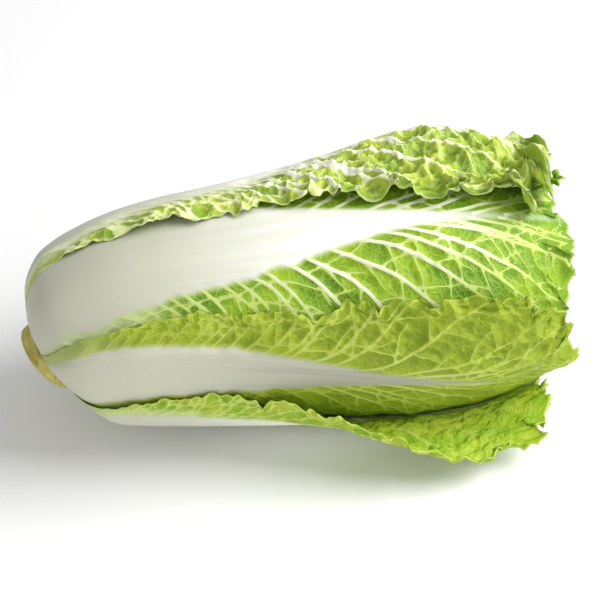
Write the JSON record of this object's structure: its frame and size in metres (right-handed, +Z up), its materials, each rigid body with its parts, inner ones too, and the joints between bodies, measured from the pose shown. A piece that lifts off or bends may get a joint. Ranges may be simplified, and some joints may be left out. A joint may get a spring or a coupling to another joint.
{
  "type": "napa cabbage",
  "caption": "Whole napa cabbage lying on its side, with broad white ribs, crinkled yellow-green leaf blades, one leaf spread on the surface and a short cut stem.",
  "frame": {"origin": "centre of the whole box at its bottom, on the surface that the head rests on", "axes": "+X along the head towards the leaf tips, +Z up, -Y towards the side where the lowest leaf spreads on the surface"},
  "size_m": [0.308, 0.1744, 0.1456],
  "materials": {
    "outer_leaf": "fresh crinkled leaf, softly glossy, white rib",
    "inner_leaf": "pale yellow-green leaf, softly glossy, white rib",
    "stem": "matt, dry cut, brown leaf scars"
  },
  "bodies": {
    "root": {"stem_base": "stem", "leaf_underside": "outer_leaf", "leaf_top_far": "outer_leaf", "leaf_back": "outer_leaf", "leaf_front_low": "outer_leaf", "leaf_back_high": "outer_leaf", "leaf_front_high": "outer_leaf", "leaf_middle_1": "inner_leaf", "leaf_middle_2": "inner_leaf", "leaf_middle_3": "inner_leaf", "leaf_middle_4": "inner_leaf", "leaf_middle_5": "inner_leaf", "leaf_heart_1": "inner_leaf", "leaf_heart_2": "inner_leaf", "leaf_heart_3": "inner_leaf", "leaf_heart_4": "inner_leaf", "leaf_heart_5": "inner_leaf", "leaf_heart_6": "inner_leaf", "leaf_heart_7": "inner_leaf", "leaf_heart_8": "inner_leaf", "leaf_heart_9": "inner_leaf"}
  },
  "joints": []
}
